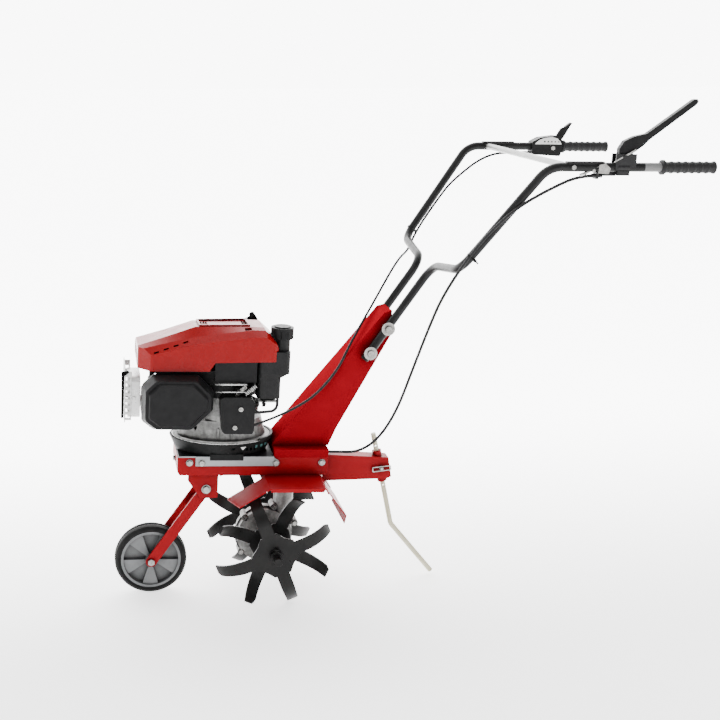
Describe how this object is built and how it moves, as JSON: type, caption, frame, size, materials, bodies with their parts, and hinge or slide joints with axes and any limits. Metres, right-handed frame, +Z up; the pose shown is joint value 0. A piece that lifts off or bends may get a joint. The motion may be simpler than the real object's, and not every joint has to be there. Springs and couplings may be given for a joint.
{
  "type": "garden tiller",
  "caption": "Walk-behind garden tiller with a vertical-shaft petrol engine, belt clutch, worm gearbox, bladed tine stars, fold-up transport wheel and long handlebars.",
  "frame": {"origin": "ground point under the middle of the machine's box, on its centre plane", "axes": "+X from the transport wheel back to the handlebars, +Y to the machine's right, +Z up"},
  "size_m": [1.4803, 0.656, 1.3497],
  "materials": {
    "red_paint": "gloss",
    "red_plastic": "gloss",
    "black_paint": "satin",
    "tine_black": "satin",
    "black_plastic": "matte",
    "grey_steel": "satin",
    "zinc": "bright",
    "cream_zinc": "satin",
    "cast_alloy": "cast",
    "silver": "satin",
    "rim_grey": "matte",
    "tyre": "matte",
    "rubber": "matte",
    "bronze": "satin",
    "iron": "rough"
  },
  "bodies": {
    "chassis": {"chassis_frame": "red_paint", "engine_plate": "grey_steel", "engine_riser": "black_paint", "handle_column": "red_paint", "tine_guard": "red_paint", "hitch_bar": "red_paint", "depth_spur": "cream_zinc", "wheel_bracket": "red_paint", "gearbox_left": "cast_alloy", "gearbox_right": "cast_alloy", "gearbox_bearings": "silver", "v_belt": "rubber", "crankcase": "cast_alloy", "cylinder_head": "cast_alloy", "spark_plug": "black_plastic", "blower_housing": "black_plastic", "fuel_tank": "black_plastic", "fuel_hose": "rubber", "engine_cowl": "red_plastic", "cowl_grille": "red_plastic", "air_filter_cover": "black_plastic", "air_filter_base": "black_plastic", "carburettor": "cast_alloy", "control_cover": "black_plastic", "muffler": "black_paint", "muffler_guard": "silver", "left_handlebar": "black_paint", "right_handlebar": "black_paint", "grips": "rubber", "cross_brace": "silver", "frame_bolts": "zinc", "clutch_bracket": "black_paint", "throttle_body": "black_plastic", "clutch_cable": "rubber", "throttle_cable": "rubber"},
    "wheel_arm": {"wheel_fork": "red_paint", "wheel_axle": "zinc"},
    "front_wheel": {"wheel_rim": "rim_grey", "tyre": "tyre"},
    "tine_rotor": {"tine_shaft": "tine_black", "tine_pins": "zinc", "star_left_outer": "tine_black", "star_left_inner": "tine_black", "star_right_inner": "tine_black", "star_right_outer": "tine_black", "worm_wheel": "bronze"},
    "worm_drive": {"worm_shaft": "silver", "driven_pulley": "grey_steel"},
    "crank_rotor": {"crankshaft": "silver", "flywheel": "cast_alloy", "drive_pulley": "grey_steel"},
    "clutch_lever_body": {"clutch_lever": "black_plastic"},
    "idler_swing": {"idler_arm": "black_paint"},
    "idler_roller": {"idler_pulley": "grey_steel"},
    "throttle_lever_body": {"throttle_lever": "black_plastic"},
    "throttle_arm_body": {"throttle_arm": "zinc"},
    "starter_handle": {"starter_grip": "black_plastic"},
    "fuel_cap_body": {"fuel_cap": "black_plastic"},
    "oil_cap_body": {"oil_cap": "black_plastic"},
    "pin_body": {"spur_pin": "zinc"}
  },
  "joints": [
    {"name": "wheel_fold", "type": "hinge", "parent": "chassis", "child": "wheel_arm", "pos_m": [-0.48574, 0, 0.30874], "axis": [0, 1, 0], "range_deg": [0, 55]},
    {"name": "wheel_spin", "type": "hinge", "parent": "wheel_arm", "child": "front_wheel", "pos_m": [-0.64037, 0, 0.1], "axis": [0, 1, 0], "continuous": true},
    {"name": "tine_spin", "type": "hinge", "parent": "chassis", "child": "tine_rotor", "pos_m": [-0.31237, 0, 0.15872], "axis": [0, 1, 0], "continuous": true},
    {"name": "worm_spin", "type": "hinge", "parent": "chassis", "child": "worm_drive", "pos_m": [-0.26034, 0, 0.37859], "axis": [0.0454, 0, 0.999], "continuous": true},
    {"name": "crank_spin", "type": "hinge", "parent": "chassis", "child": "crank_rotor", "pos_m": [-0.44006, 0, 0.45482], "axis": [0.0454, 0, 0.999], "continuous": true},
    {"name": "clutch_squeeze", "type": "hinge", "parent": "chassis", "child": "clutch_lever_body", "pos_m": [0.5021, -0.31, 1.215], "axis": [0, 1, 0], "range_deg": [0, 28], "stiffness_Nm_per_rad": 1.5, "springref_deg": -14.32},
    {"name": "idler_tension", "type": "hinge", "parent": "chassis", "child": "idler_swing", "pos_m": [-0.38821, 0.012, 0.38439], "axis": [0.0454, 0, 0.999], "range_deg": [-11, 0]},
    {"name": "idler_spin", "type": "hinge", "parent": "idler_swing", "child": "idler_roller", "pos_m": [-0.35824, -0.01885, 0.38303], "axis": [0.0454, 0, 0.999], "continuous": true},
    {"name": "throttle_set", "type": "hinge", "parent": "chassis", "child": "throttle_lever_body", "pos_m": [0.589, 0.31, 1.20856], "axis": [0, 1, 0], "range_deg": [-40, 0]},
    {"name": "throttle_link", "type": "hinge", "parent": "chassis", "child": "throttle_arm_body", "pos_m": [-0.40425, -0.112, 0.60435], "axis": [0, 1, 0], "range_deg": [-24, 0]},
    {"name": "starter_pull", "type": "slide", "parent": "chassis", "child": "starter_handle", "axis": [0.8823, 0, 0.4708], "range_m": [0, 0.15], "stiffness_N_per_m": 40, "springref_m": -0.2},
    {"name": "fuel_cap_turn", "type": "hinge", "parent": "chassis", "child": "fuel_cap_body", "pos_m": [-0.28746, -0.08, 0.70716], "axis": [0.0454, 0, 0.999], "range_deg": [0, 90]},
    {"name": "oil_cap_turn", "type": "hinge", "parent": "chassis", "child": "oil_cap_body", "pos_m": [-0.34444, 0.046, 0.51054], "axis": [0.0454, 0, 0.999], "range_deg": [0, 90]},
    {"name": "pin_pull", "type": "slide", "parent": "chassis", "child": "pin_body", "axis": [0, -1, 0], "range_m": [0, 0.06]}
  ],
  "couplings": [
    {"joint": "worm_spin", "follows": "tine_spin", "ratio": 20},
    {"joint": "idler_tension", "follows": "clutch_squeeze", "ratio": -0.39286},
    {"joint": "throttle_link", "follows": "throttle_set", "ratio": 0.6}
  ]
}
